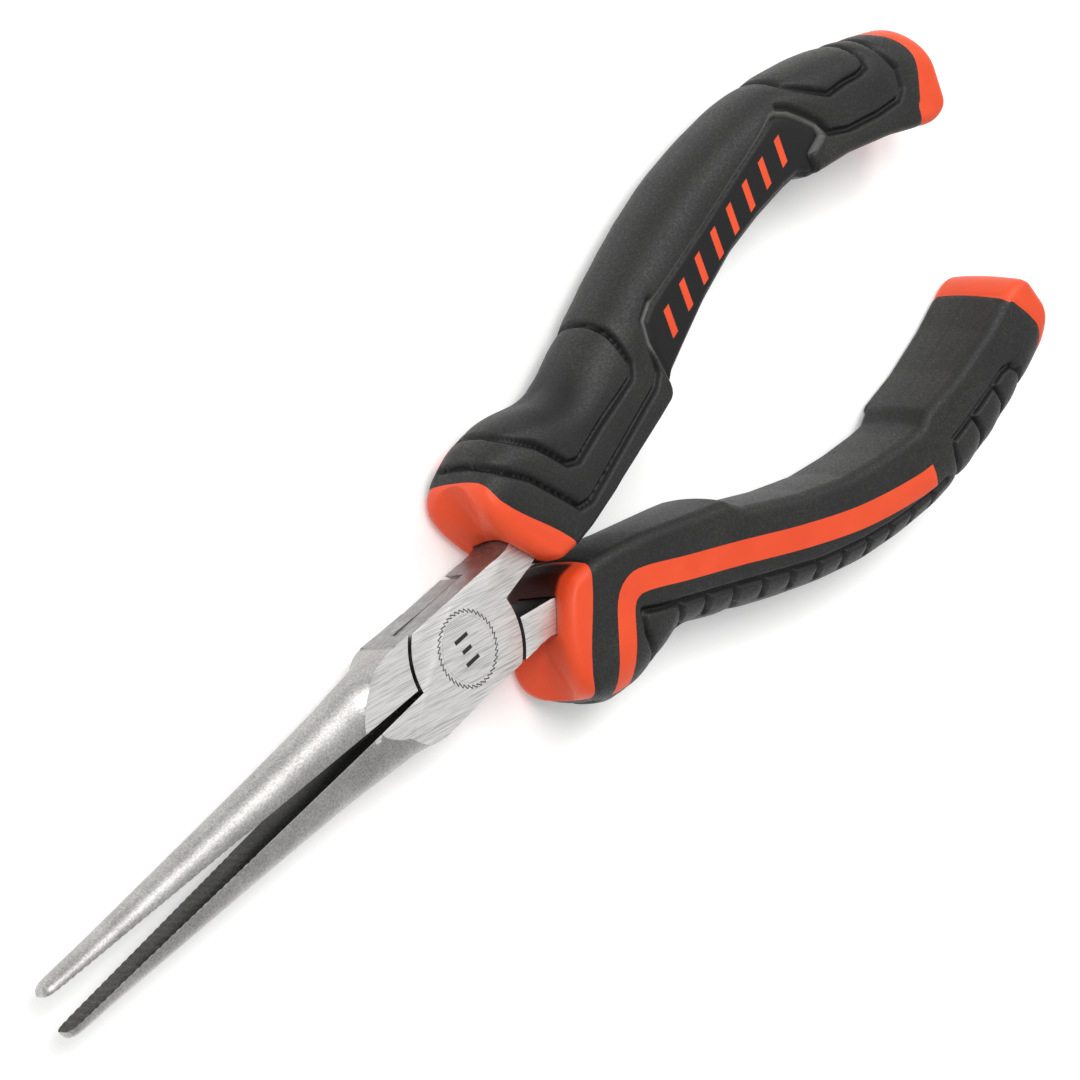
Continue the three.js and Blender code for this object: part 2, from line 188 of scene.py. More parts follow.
def carve(piece, tool, operation):
    cut = piece.modifiers.new(operation.lower(), "BOOLEAN")
    cut.object, cut.operation, cut.solver = tool, operation, "MANIFOLD"
    bpy.context.view_layer.update()
    seen = piece.evaluated_get(bpy.context.evaluated_depsgraph_get())
    mesh = bpy.data.meshes.new_from_object(seen)
    piece.modifiers.clear()
    old, piece.data = piece.data, mesh
    mesh.name = piece.name
    bpy.data.meshes.remove(old)


def discard(*tools):
    for tool in tools:
        bpy.data.objects.remove(tool)


# %% [markdown]
# ## Camera
# It looks down at 47 degrees from beyond the jaws with a longish lens, and is
# rolled so that the table's up direction points to the right of the frame.

# %% Camera
EYE = Vector((151.91, -82.22, 189.22)) / 1000
AIM = Vector((2.561, -1.673, 3.841)) / 1000
ROLL = -83.96                   # degrees
SENSOR, FOCAL = 36.0, 112.39    # mm

lens = bpy.data.cameras.new("view")
lens.sensor_width, lens.lens = SENSOR, FOCAL
lens.clip_start, lens.clip_end = 0.01, 20
camera = bpy.data.objects.new("view", lens)
bpy.context.scene.collection.objects.link(camera)
look = (AIM - EYE).to_track_quat("-Z", "Y").to_matrix()
look = look @ Matrix.Rotation(math.radians(-ROLL), 3, "Z")
camera.matrix_world = Matrix.Translation(EYE) @ look.to_4x4()
bpy.context.scene.camera = camera
print("camera", round((AIM - EYE).length * 1000), "mm from the aim point")

# %% [markdown]
# ## Floor and light
# A plain white sweep, two softboxes and a white room. The room is brightest a
# little above the horizon and greyer overhead, as a tent of cloth is, so that
# flat ground steel shines but keeps some tone.

# %% Helpers for nodes and colours
def linear(hex_colour):
    """#rrggbb, as picked on a screen, to the linear values that Blender mixes."""
    parts = [int(hex_colour[i:i + 2], 16) / 255 for i in (1, 3, 5)]
    light = [c / 12.92 if c <= 0.04045 else ((c + 0.055) / 1.055) ** 2.4 for c in parts]
    return (*light, 1.0)


def add(tree, kind, inputs=None, **settings):
    """Add one node: settings by name, then its inputs, each a value or (node, output)."""
    node = tree.nodes.new(kind)
    for key, value in settings.items():
        setattr(node, key, value)
    for key, value in (inputs or {}).items():
        if isinstance(value, tuple) and isinstance(value[0], bpy.types.Node):
            tree.links.new(value[0].outputs[value[1]], node.inputs[key])
        else:
            node.inputs[key].default_value = value
    return node


def ramp(tree, source, stops):
    """A colour ramp from (position, grey or colour) stops."""
    node = add(tree, "ShaderNodeValToRGB", {"Fac": source})
    elements = node.color_ramp.elements
    while len(elements) < len(stops):
        elements.new(0.5)
    for element, (position, value) in zip(elements, stops):
        element.position = position
        element.color = value if isinstance(value, tuple) else (value, value, value, 1)
    return node, "Color"


def calc(tree, operation, *values):
    """A Math node on values or sources."""
    return add(tree, "ShaderNodeMath", dict(enumerate(values)), operation=operation), "Value"


def fade(tree, source, start, end, first=1.0, last=0.0):
    """From first to last, while the source goes from start to end."""
    limits = {"From Min": start, "From Max": end, "To Min": first, "To Max": last}
    return add(tree, "ShaderNodeMapRange", {"Value": source, **limits}), "Result"


def tint(tree, amount, colour, cover):
    """A colour, covered by another by the amount of a mask."""
    node = add(tree, "ShaderNodeMix", {"Factor": amount, "A": colour, "B": linear(cover)},
               data_type="RGBA")
    return node, "Result"


def about_pivot(tree, where):
    """The three coordinates, counted from the rivet."""
    spot = add(tree, "ShaderNodeVectorMath", {0: where, 1: tuple(PIVOT)}, operation="SUBTRACT")
    xyz = add(tree, "ShaderNodeSeparateXYZ", {"Vector": (spot, "Vector")})
    return (xyz, "X"), (xyz, "Y"), (xyz, "Z")


def feed(tree, shader, sources):
    for socket, (node, output) in sources.items():
        tree.links.new(node.outputs[output], shader.inputs[socket])


def new_material(name, settings):
    """A Principled material with constants on its sockets."""
    mat = bpy.data.materials.new(name)
    mat.use_nodes = True
    shader = mat.node_tree.nodes["Principled BSDF"]
    for socket, value in settings.items():
        shader.inputs[socket].default_value = value
    return mat, mat.node_tree, shader


# %% Floor, room and softboxes
bm = bmesh.new()
bmesh.ops.create_grid(bm, x_segments=1, y_segments=1, size=2.0)
floor = new_piece("floor", bm)
paper, _, _ = new_material("white_paper_sweep", {
    "Base Color": linear("#F7F7F6"), "Roughness": 0.95, "Specular IOR Level": 0.0,
    "Emission Color": linear("#FFFFFF"), "Emission Strength": 0.15})   # lit a little from below
floor.data.materials.append(paper)

ROOM = [(0.0, 0.85), (0.35, 0.95), (0.9, 0.62)]     # sine of the height, brightness
room = bpy.data.worlds.new("white_room")
bpy.context.scene.world = room
room.use_nodes = True
tree = room.node_tree
where = add(tree, "ShaderNodeTexCoord")
height = add(tree, "ShaderNodeSeparateXYZ", {"Vector": (where, "Generated")})
feed(tree, tree.nodes["Background"], {"Color": ramp(tree, (height, "Z"), ROOM)})
tree.nodes["Background"].inputs["Strength"].default_value = 0.80

SOFTBOXES = [  # name, place, size, watts
    ("key_softbox", (-0.44, -0.34, 0.58), 0.25, 1.5),
    ("overhead_softbox", (0.12, -0.42, 0.74), 0.50, 4.6),
]
for name, spot, size, watts in SOFTBOXES:
    lamp = bpy.data.lights.new(name, "AREA")
    lamp.shape, lamp.size, lamp.energy = "SQUARE", size, watts
    box = bpy.data.objects.new(name, lamp)
    facing = (-Vector(spot)).to_track_quat("-Z", "Y").to_matrix().to_4x4()
    box.matrix_world = Matrix.Translation(spot) @ facing
    bpy.context.scene.collection.objects.link(box)
bpy.context.scene.view_settings.view_transform = "Standard"
bpy.context.scene.view_settings.look = "None"

# %% [markdown]
# ## Ground tool steel
# Pliers are drop forged from carbon steel. The flat faces are ground on a
# belt, which leaves fine parallel lines that run a little across the tool.
# The lines are noise stretched along one direction: it moves the brightness
# and the roughness a little and tilts the surface across the lines. A belt
# line is 0.02 to 0.05 mm; here they are drawn 0.07 and 0.14 mm wide so that
# they show. The mark in the middle is etched: a ring of saw teeth with three
# plain bars in it, which stand where a size would be.

# %% Ground steel, with the etched mark
BELT_ANGLE = 12.0               # degrees between the belt lines and the tool
FINE_LINES, BROAD_LINES = (500, 14000, 500), (250, 7000, 250)     # cells in a metre
MARK_RADIUS, MARK_TEETH, TOOTH = 2.76e-3, 40, 0.26e-3
MARK_BARS = [(-0.95e-3, 0.72e-3), (0.0, 0.50e-3), (0.95e-3, 0.72e-3)]    # place, half length
BAR_HALF_WIDTH, BAR_SHIFT, BAR_EDGE = 0.16e-3, 0.1e-3, 0.03e-3


def steel(name, colour, rough, metal=1.0):
    """A metal, with its own coordinates and those of the grinding belt."""
    mat, tree, shader = new_material(name, {
        "Metallic": metal, "Roughness": rough, "Base Color": linear(colour)})
    where = add(tree, "ShaderNodeTexCoord")
    turned = add(tree, "ShaderNodeMapping", {
        "Vector": (where, "Object"), "Rotation": (0, 0, math.radians(BELT_ANGLE))})
    return mat, tree, shader, (where, "Object"), (turned, "Vector")


def noise(tree, vector, scale, detail, rough=0.5):
    node = add(tree, "ShaderNodeTexNoise", {
        "Vector": vector, "Scale": scale, "Detail": detail, "Roughness": rough})
    return node, "Fac"


def bump(tree, height, strength, depth):
    node = add(tree, "ShaderNodeBump", {"Strength": strength, "Distance": depth, "Height": height})
    return node, "Normal"


def etched_mark(tree, where):
    """1 on the ring and the bars of the upper face, 0 beside them."""
    x, y, z = about_pivot(tree, where)
    squares = calc(tree, "POWER", x, 2.0), calc(tree, "POWER", y, 2.0)
    radius = calc(tree, "SQRT", calc(tree, "ADD", *squares))
    turns = calc(tree, "MULTIPLY", calc(tree, "ARCTAN2", y, x), MARK_TEETH / (2 * math.pi))
    tooth = calc(tree, "FRACT", turns)
    # the slow rise of each tooth
    line = calc(tree, "MULTIPLY_ADD", tooth, TOOTH, MARK_RADIUS - TOOTH / 2)
    off = calc(tree, "ABSOLUTE", calc(tree, "SUBTRACT", radius, line))
    ring = fade(tree, off, 0.03e-3, 0.07e-3)
    # its short steep flank
    end = calc(tree, "ABSOLUTE", calc(tree, "SUBTRACT", tooth, 0.5))
    off = calc(tree, "ABSOLUTE", calc(tree, "SUBTRACT", radius, MARK_RADIUS))
    near = fade(tree, off, 0.12e-3, 0.15e-3)
    flank = calc(tree, "MULTIPLY", fade(tree, end, 0.40, 0.47, 0.0, 1.0), near)
    mark = calc(tree, "MAXIMUM", ring, flank)
    for across, half_length in MARK_BARS:
        sides = []
        for axis, middle, reach in ((y, across, BAR_HALF_WIDTH), (x, BAR_SHIFT, half_length)):
            off = calc(tree, "ABSOLUTE", calc(tree, "SUBTRACT", axis, middle))
            sides.append(fade(tree, off, reach - BAR_EDGE, reach + BAR_EDGE))
        mark = calc(tree, "MAXIMUM", mark, calc(tree, "MULTIPLY", *sides))
    return calc(tree, "MULTIPLY", mark, calc(tree, "GREATER_THAN", z, 1.9 * MM))


def ground_steel():
    """Ground carbon steel: bright, faintly warm, with belt lines."""
    mat, tree, shader, where, belt = steel("ground_carbon_steel", "#D9D8D6", 0.42, metal=0.75)
    lines = add(tree, "ShaderNodeMapping", {"Vector": belt, "Scale": FINE_LINES})
    fine = noise(tree, (lines, "Vector"), 1.0, 3.0, 0.6)
    lines = add(tree, "ShaderNodeMapping", {"Vector": belt, "Scale": BROAD_LINES})
    both = calc(tree, "ADD", fine, noise(tree, (lines, "Vector"), 1.0, 2.0))
    level = calc(tree, "MULTIPLY", both, 0.5)
    tone = ramp(tree, level, [
        (0.36, linear("#B8B7B5")), (0.5, linear("#DDDCDA")), (0.66, linear("#F2F1EF"))])
    feed(tree, shader, {
        "Base Color": tint(tree, etched_mark(tree, where), tone, "#3A3836"),
        "Roughness": fade(tree, level, 0.3, 0.7, 0.50, 0.36),
        "Normal": bump(tree, both, 0.35, 0.010e-3)})
    return mat


GROUND = ground_steel()

# %% [markdown]
# ## Blasted jaws, milled sides and painted shade
# The jaws are shot blasted to an even satin grey: a fine round grain with no
# direction. The sides of the head are milled and stay greyer. The gripping
# faces, and the sides of the tangs that face each other across the slot, get a
# dark steel: painted shade, for faces that turn away from the light or lie
# deep in the slot.

# %% The other steel finishes
def grained_steel(name, colours, rough, grain_mm, depth_mm, stretch=(1, 1, 1)):
    """colours: dark, middle and light of the finish."""
    mat, tree, shader, where, belt = steel(name, colours[1], rough)
    grid = add(tree, "ShaderNodeMapping", {"Vector": belt, "Scale": stretch})
    grain = noise(tree, (grid, "Vector"), 1000 / grain_mm, 3.0, 0.65)
    patches = noise(tree, where, 350.0, 2.0)
    both = calc(tree, "MULTIPLY_ADD", patches, 0.35, grain)
    stops = zip((0.45, 0.68, 0.9), map(linear, colours))
    feed(tree, shader, {
        "Base Color": ramp(tree, both, list(stops)),
        "Normal": bump(tree, grain, 0.6, depth_mm / 1000)})
    return mat


BLASTED = grained_steel("blasted_carbon_steel", ("#8C8A88", "#ACAAA8", "#C8C6C4"),
                        0.43, 0.14, 0.012)
MILLED = grained_steel("milled_carbon_steel", ("#7B7B7B", "#959595", "#B0B0B0"),
                       0.42, 0.16, 0.012, (0.12, 1, 1))
# Painted shade: a dark steel for the gripping faces and for the tang sides in the slot, which lie
# in shade
PAINTED_SHADE_STEEL = grained_steel("steel_with_painted_shade", ("#2A2928", "#434241", "#615F5E"),
                         0.5, 0.2, 0.02)

# %% [markdown]
# ## The steel half
# The jaw is a half-round taper: flat on the gripping side, round at the back.
# It could be lofted, or turned and ground flat; here its sections are skinned,
# and it is cut to the thickness of the forging, which gives the sharp crease
# where the ground face meets the round jaw.

# %% The jaw
REST_ANGLE = 1.9                # each half stands this far open from closed
FACE_GAP = 0.03                 # from the gripping face to the middle of the closed tool
T = 2.0                         # half thickness of the forging
# distance from the rivet, width, half height on the upper side, and on the lower side
JAW = [
    (5.6, 3.86, 12, 14), (6.6, 3.85, 6, 10), (7.2, 3.84, 3.9, 7.5), (8.1, 3.78, 2.46, 5),
    (9.1, 3.68, 2.16, 3.1), (10.2, 3.55, 2.01, 2.36), (11.2, 3.42, 1.98, 2.04),
    (12.6, 3.22, 1.95, 1.95), (15, 2.95, 1.88, 1.88), (20, 2.5, 1.74, 1.74),
    (26, 2.03, 1.54, 1.54), (32, 1.58, 1.32, 1.32), (38, 1.12, 1.12, 1.12),
    (41, 0.95, 1.02, 1.02), (42.3, 0.86, 0.93, 0.93), (42.75, 0.74, 0.8, 0.8),
    (43.0, 0.6, 0.62, 0.62), (43.1, 0.42, 0.42, 0.42)]
JAW_SQUARE = 0.92               # below 1 the back is a little squarer than an ellipse


def jaw_rings():
    around = np.linspace(-1, 1, 65) * math.pi / 2
    rings = []
    for x, w, up, down in curve_through(JAW, 0.25):
        ring = []
        for a in around:                            # over the round back
            y = FACE_GAP + (w - FACE_GAP) * max(0.0, math.cos(a)) ** JAW_SQUARE
            ring.append((y, (up if a > 0 else down) * math.sin(a)))
        for k in np.linspace(1, -1, 17)[1:-1]:      # down the gripping face
            ring.append((FACE_GAP, (up if k > 0 else down) * k))
        rings.append([(*turn([(x, y)], REST_ANGLE)[0], z) for y, z in ring])
    rings = np.array(rings)
    first = rings[:1].mean(axis=1, keepdims=True).repeat(rings.shape[1], 1)
    last = rings[-1:].mean(axis=1, keepdims=True).repeat(rings.shape[1], 1)
    return np.vstack([first, rings, last])


jaw = skin("jaw", jaw_rings())
stock = plate("stock", [(4, -2), (50, -2), (50, 9), (4, 9)], -T, T)
carve(jaw, stock, "INTERSECT")
print("jaw:", len(jaw.data.polygons), "faces")

# %% [markdown]
# The head is bar of one thickness. One half of it is cut away so that the
# other half's round lap can turn inside, and a tang runs back into the grip.

# %% Head, lap and tang
WIDTH = 3.85                    # half width of the head
LAP_R, RECESS_R, LAP_GAP = 5.4, 5.75, 0.05
ROOT = [(1, FACE_GAP), (5.75, FACE_GAP), (5.75, WIDTH), (1, WIDTH)]
TANG = [
    (-1, -3.85), (-5.5, -3.85), (-6.3, -3.8), (-7.4, -3.85), (-9.5, -4.6), (-13, -6.0),
    (-20, -8.1), (-28, -11.2), (-36, -14.2), (-41, -15.6), (-46, -16.3), (-46, -14.3),
    (-41, -13.4), (-36, -11.9), (-28, -8.6), (-20, -5.2), (-13, -2.95), (-9, -1.6),
    (-5.4, -0.95), (-1, -0.95)]


def round_bar(name, radius, z0, z1, wide=None):
    """A disc, with its sides cut off flat if a half width is given."""
    around = np.linspace(0, 2 * math.pi, 160, endpoint=False)
    circle = [(radius * math.cos(a), radius * math.sin(a)) for a in around]
    if wide:
        circle = [(x, max(-wide, min(wide, y))) for x, y in circle]
        circle = [p for i, p in enumerate(circle) if math.dist(p, circle[i - 1]) > 1e-4]
    return plate(name, circle, z0, z1)


half = plate("steel_half", TANG, -T, T)
root = plate("jaw_root", turn(ROOT, REST_ANGLE), -T, T)
recess = round_bar("recess", RECESS_R, -T - 1, LAP_GAP)
lap = round_bar("lap", LAP_R, LAP_GAP, T, WIDTH)
carve(half, root, "UNION")
carve(half, jaw, "UNION")
carve(half, recess, "DIFFERENCE")
carve(half, lap, "UNION")
discard(root, jaw, recess, lap, stock)
print("steel half:", len(half.data.polygons), "faces")

# %% [markdown]
# Small teeth across the front half of the gripping face hold a wire. They are
# one comb, cut across the whole face, as a broach does it.

# %% Teeth
TEETH_FROM, TEETH_TO, PITCH, DEPTH = 24.0, 42.2, 0.7, 0.045
BELOW = FACE_GAP - 0.02         # between its teeth the comb stays clear of the face
comb = [(TEETH_FROM, -0.4)]
for x in np.arange(TEETH_FROM, TEETH_TO, PITCH):
    comb += [(x, BELOW), (x + PITCH * 0.5, FACE_GAP + DEPTH)]
comb += [(TEETH_TO + 0.3, BELOW), (TEETH_TO + 0.3, -0.4)]
teeth = plate("comb", turn(comb, REST_ANGLE), -T - 1, T + 1)
carve(half, teeth, "DIFFERENCE")
discard(teeth)

# %% [markdown]
# The rivet is a pin with countersunk ends, ground flush with both faces, so
# that only a hair line shows. Its profile is spun about the pivot.

# %% Rivet
SHANK_R, HEAD_R, COUNTERSINK = 1.75, 2.45, 0.55
RIVET_CLEARANCE = 0.012         # round the rivet in its hole


def spun(name, profile):
    bm = bmesh.new()
    verts = [bm.verts.new(place((r, 0, z))) for r, z in profile]
    edges = [bm.edges.new(pair) for pair in zip(verts[:-1], verts[1:])]
    bmesh.ops.spin(bm, geom=verts + edges, cent=PIVOT, axis=(0, 0, 1),
                   angle=2 * math.pi, steps=128, use_merge=True)
    bmesh.ops.remove_doubles(bm, verts=bm.verts, dist=MERGE)
    bmesh.ops.recalc_face_normals(bm, faces=bm.faces)
    return new_piece(name, bm)


def rivet_side(grow):
    return [(HEAD_R + grow, -T), (SHANK_R + grow, -T + COUNTERSINK),
            (SHANK_R + grow, T - COUNTERSINK), (HEAD_R + grow, T)]


past = T + 0.4                  # the tool that bores the hole passes both faces
wide = HEAD_R + RIVET_CLEARANCE
hole = spun("rivet_hole", [(0, -past), (wide, -past)] + rivet_side(RIVET_CLEARANCE)
            + [(wide, past), (0, past)])
carve(half, hole, "DIFFERENCE")
discard(hole)
pin = spun("flush_rivet", [(0, -T)] + rivet_side(0.0) + [(0, T)])
print("rivet:", len(pin.data.polygons), "faces")

# %% [markdown]
# Forged and ground edges are never razor sharp: the ones round the flat faces
# get a very small bevel, which catches a thin line of light.

# %% Break the edges and give each face its finish
FINISHES = [GROUND, MILLED, BLASTED, PAINTED_SHADE_STEEL]
CREASE = math.radians(28)


def on_flat_face(edge):
    """True between a flat face and an upright side, if it is not too short to bevel."""
    if len(edge.link_faces) != 2:
        return False
    up = sorted(abs(f.normal.z) for f in edge.link_faces)
    return up[0] < 0.1 and up[1] > 0.995 and edge.calc_length() > 0.05e-3


def break_edges(piece, width_mm):
    bm = bmesh.new()
    bm.from_mesh(piece.data)
    bmesh.ops.remove_doubles(bm, verts=bm.verts, dist=2 * MERGE)
    bmesh.ops.dissolve_limit(bm, angle_limit=math.radians(0.05), verts=bm.verts, edges=bm.edges)
    edges = [e for e in bm.edges if on_flat_face(e)]
    bmesh.ops.bevel(bm, geom=edges, offset=width_mm / 1000, offset_type="OFFSET", segments=2,
                    profile=0.5, affect="EDGES", clamp_overlap=True, material=-1)
    bm.to_mesh(piece.data)
    bm.free()
    return len(edges)


def finish_faces(piece):
    piece.data.materials.clear()
    for finish in FINISHES:
        piece.data.materials.append(finish)
    c, s = math.cos(math.radians(REST_ANGLE)), math.sin(math.radians(REST_ANGLE))
    for face in piece.data.polygons:
        x, y, z = (face.center - PIVOT) / MM
        n = face.normal
        facing = n.x * s - n.y * c      # 1 towards the other jaw, -1 towards the other tang
        across = -x * s + y * c
        if abs(n.z) > 0.999 and abs(z) > T - 0.08 and x < 11.3:
            finish = GROUND
        # Painted shade: faces towards the other jaw, and tang sides towards the other tang, take
        # the dark steel
        elif (x > 5.2 and facing > 0.8 and across < 0.4) or (x < -5.2 and facing < -0.6):
            finish = PAINTED_SHADE_STEEL
        elif x > 5.9:
            finish = BLASTED
        else:
            finish = MILLED
        face.material_index = FINISHES.index(finish)
        face.use_smooth = True
    piece.data.set_sharp_from_angle(angle=CREASE)


print("edges broken:", break_edges(half, 0.06))
finish_faces(half)
pin.data.materials.append(GROUND)
pin.data.set_sharp_from_angle(angle=CREASE)

# %% [markdown]
# The second half is the same part turned over.

# %% Copy, turn over, and put both on their bodies
OVER = Matrix.Translation(PIVOT) @ Matrix.Rotation(math.pi, 4, "X") @ Matrix.Translation(-PIVOT)


def turned_over(piece, name):
    other = bpy.data.objects.new(name, piece.data.copy())
    other.data.transform(OVER)
    bpy.context.scene.collection.objects.link(other)
    return other


def settle(piece, body, node):
    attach(piece, body)
    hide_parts(node)


half.name = "forged_half_upper_lap"
half_b = turned_over(half, "forged_half_lower_lap")
settle(half, THUMB_BODY, "handle_half_upper_lap")
settle(half_b, FINGER_BODY, "handle_half_lower_lap")
settle(pin, THUMB_BODY, "pivot_rivet")

# %% [markdown]
# ## The moulded grip
# The real grip is moulded in two shots: a hard orange core, which shows as the
# collar, the stripe, the inlay and the end cap, and a soft black sleeve over
# it. Its outside is one flowing form, so one closed skin is made first, with
# all its grooves, and is then cut into the two colours.

# %% Lines of the grip in plan
OUTER = [
    (2, -7.0), (-3.4, -7.6), (-5.5, -8.5), (-8, -10.35), (-9.6, -11.4), (-11.5, -11.95),
    (-14, -11.95), (-16, -11.7), (-18, -11.25), (-20, -11.4), (-23, -12.5), (-26, -13.65),
    (-30, -15.25), (-35, -17.0), (-40, -18.35), (-45, -19.1), (-50, -19.5), (-55, -19.3),
    (-60, -18.6), (-65, -17.4), (-70, -15.9), (-75, -13.9)]
INNER = [
    (2, -0.3), (-9.3, -0.6), (-13, -0.5), (-15, -0.8), (-18.4, -1.6), (-23.2, -3.0),
    (-28.0, -4.4), (-28.6, -5.1), (-29.6, -5.95), (-32.6, -7.25), (-36.2, -8.75), (-41, -10.3),
    (-45.5, -11.1), (-49.5, -11.55), (-51.2, -11.6), (-52.5, -10.9), (-57.6, -10.4),
    (-63.0, -9.3), (-67.3, -8.0), (-75, -5.7)]
# the inner side leans: its thumb-face edge stands closer to the other grip
LEAN = [(-20, 0), (-26, 0.06), (-45, 0.09), (-53, 0.12), (-65, 0.2), (-75, 0.22)]
# where the sections cross: x on the inner line, x on the outer line
CROSSINGS = [
    (-10.5, -8.3), (-11.5, -9.3), (-13.2, -10.8), (-16.4, -13.6), (-20, -16.8), (-23.3, -20.2),
    (-28.3, -25.4), (-36.5, -34.2), (-46, -45), (-52, -53.2), (-58.1, -60.2), (-63.8, -66),
    (-67.4, -69.4), (-70.6, -72.2)]
# how far the front of the collar bulges forward, from its inner to its outer side
BULGE = [
    (0, 0), (0.1, 0.8), (0.25, 1.7), (0.45, 2.3), (0.65, 2.5), (0.78, 2.3), (0.88, 1.6),
    (0.95, 0.8), (1, 0)]
BULGE_LENGTH = 6.0              # it fades out over this length

DEEP = 3.9                      # half thickness of the grip
EDGE_R, CROWN = 1.05, 0.22      # inner edges: their radius, and the hollow side's rise
BACK_R, BACK_SHARE = 4.3, 0.46  # outer side: the radius of the back, and its share of the width
NOSE, TAIL, TAIL_EDGE = 0.9, 3.0, 1.2     # lengths over which the two ends are rounded


def section(w):
    """Half of one section, from the middle of the inner side over the top to the outer side."""
    upright = DEEP - EDGE_R
    side = [(CROWN * (z / upright) ** 2, z) for z in np.linspace(0, upright, 14)]
    corner = [(CROWN + EDGE_R - EDGE_R * math.cos(a), upright + EDGE_R * math.sin(a))
              for a in np.linspace(0, math.pi / 2, 12)[1:]]
    b = min(BACK_R, w * BACK_SHARE)
    flat = [(x, DEEP) for x in np.linspace(CROWN + EDGE_R, w - b, 24)[1:]]
    back = [(w - b + b * math.sin(a) ** 0.92, DEEP * max(0.0, math.cos(a)) ** 0.86)
            for a in np.linspace(0, math.pi / 2, 40)[1:]]
    return np.array(side + corner + flat + back)


def even_loop(half_section, columns):
    """The whole section, both sides of the parting line, as evenly spaced points."""
    loop = np.vstack([half_section, (half_section * [1, -1])[::-1][1:-1], half_section[:1]])
    length = np.concatenate([[0], np.cumsum(np.hypot(*np.diff(loop, axis=0).T))])
    at = np.linspace(0, length[-1], columns, endpoint=False)
    return np.interp(at, length, loop[:, 0]), np.interp(at, length, loop[:, 1])


def draw_in(from_end, length, most):
    """How far a rounded end draws in, at a distance from it."""
    if from_end >= length:
        return 0.0
    return most * (1 - math.sqrt(max(0, 1 - (1 - from_end / length) ** 2)))


def close(ring):
    """Shrink an end ring to its middle."""
    centre = ring.mean(axis=0, keepdims=True)
    return np.array([centre + (ring - centre) * k for k in (0.0, 0.2, 0.4, 0.6, 0.8, 0.93)])


def stations(run, spacing):
    """Where the sections stand along the grip: even, but closer at the rounded ends."""
    quarter = np.linspace(0, math.pi / 2, 9)
    even = np.arange(0, run, spacing)
    front = np.concatenate([NOSE * (1 - np.cos(quarter)), even[even > 1.0]])
    quarter = np.linspace(0, math.pi / 2, 26)
    return np.concatenate([front[front < run - TAIL], run - TAIL * (1 - np.sin(quarter))])


def grip_rings(spacing, columns):
    crossings = curve_through(CROSSINGS, spacing)
    xi, xo = crossings[:, 0], crossings[:, 1]
    inner = np.stack([xi, along(INNER, xi, 0.3)], 1)
    outer = np.stack([xo, along(OUTER, xo, 1.1)], 1)
    middle = (inner + outer) / 2
    run = np.concatenate([[0], np.cumsum(np.hypot(*np.diff(middle, axis=0).T))])
    rings = []
    for d in stations(run[-1], spacing):
        i = np.array([np.interp(d, run, inner[:, k]) for k in (0, 1)])
        o = np.array([np.interp(d, run, outer[:, k]) for k in (0, 1)])
        w = math.dist(i, o)
        back = run[-1] - d
        narrow = draw_in(d, NOSE, NOSE) + draw_in(back, TAIL, 0.9 * TAIL)
        thin = draw_in(d, NOSE, 1.2 * NOSE) + draw_in(back, TAIL_EDGE, TAIL_EDGE)
        a, z = even_loop(section(w), columns)
        a = w / 2 + (a - w / 2) * (w - 2 * narrow) / w
        z = z * (DEEP - thin) / DEEP
        step = (o - i) / w
        lean = float(along(LEAN, i[0])) * z * (1 - a / w)
        bulge = along(BULGE, a / w, 0.09) * (1 - ease(d / BULGE_LENGTH))
        rings.append(np.stack([i[0] + step[0] * a + bulge, i[1] + step[1] * a + lean, z], 1))
    rings = np.array(rings)
    return np.vstack([close(rings[0]), rings, close(rings[-1])[::-1]])


rings = grip_rings(0.17, 224)
grip = skin("grip", rings)
print("grip skin:", rings.shape[0], "sections,", len(grip.data.polygons), "faces")

# %% [markdown]
# ### Grooves, pads and treads
# The upper face carries a thumb saddle with double grooves, a sunk panel and
# an end pad; the lower face carries a row of finger treads. A groove is a
# shallow dip of the skin along a line, so each point moves inwards by a depth
# that depends on its distance from the lines.

# %% The lines
THUMB_GROOVES = [
    [(-10.6, -13.5), (-11.2, -11.5), (-12.4, -10.2), (-13.3, -9.3), (-15.2, -6.4),
     (-16.3, -6.0), (-19.7, -7.0), (-24.7, -8.2), (-25.3, -9.2), (-25.3, -12.0), (-24.9, -15)],
    [(-8.0, -13), (-8.4, -10.6), (-9.6, -9.2), (-11.4, -7.4), (-13.8, -4.0), (-14.3, -3.1),
     (-15.6, -2.9), (-26.5, -6.3), (-27.4, -7.1), (-27.9, -9.3), (-28.4, -11.2), (-30.0, -12.1)],
    [(-53.4, -20.5), (-54.4, -18.2), (-57.0, -16.2), (-58.0, -15.5), (-60.3, -15.4),
     (-62.3, -15.1), (-63.5, -15.2), (-63.8, -16.1), (-63.4, -20)],
    [(-52.1, -17.4), (-53.1, -16.8), (-55.5, -14.1), (-56.0, -12.9), (-58.4, -12.0),
     (-62.5, -11.3), (-65.3, -11.1), (-66.2, -11.7), (-66.6, -13.3), (-66.1, -15.2),
     (-65.4, -19)]]
PANEL = [
    (-27.9, 2), (-27.9, -9.3), (-28.4, -11.2), (-30.0, -12.1), (-38.3, -14.1), (-48.8, -16.9),
    (-50.9, -17.6), (-51.9, -17.5), (-53.1, -16.6), (-55.5, -14.1), (-55.4, -12.8),
    (-53.4, -12.2), (-52.4, 2)]
TREAD_LINE = [
    (-14.9, -12.6), (-14.5, -8.5), (-15.1, -6.8), (-17.2, -7.8), (-20.2, -9.1), (-25.1, -11.1),
    (-29.8, -13.0), (-34.3, -14.8), (-38.9, -16.1), (-43.6, -17.1), (-49.6, -17.8),
    (-51.4, -17.8)]
END_LINE = [
    (-53.6, -20.4), (-53.4, -16.6), (-53.8, -15.3), (-55.6, -15.1), (-59.2, -14.6),
    (-62.8, -13.9), (-64.0, -14.0), (-64.8, -15.0), (-65.4, -18.5)]
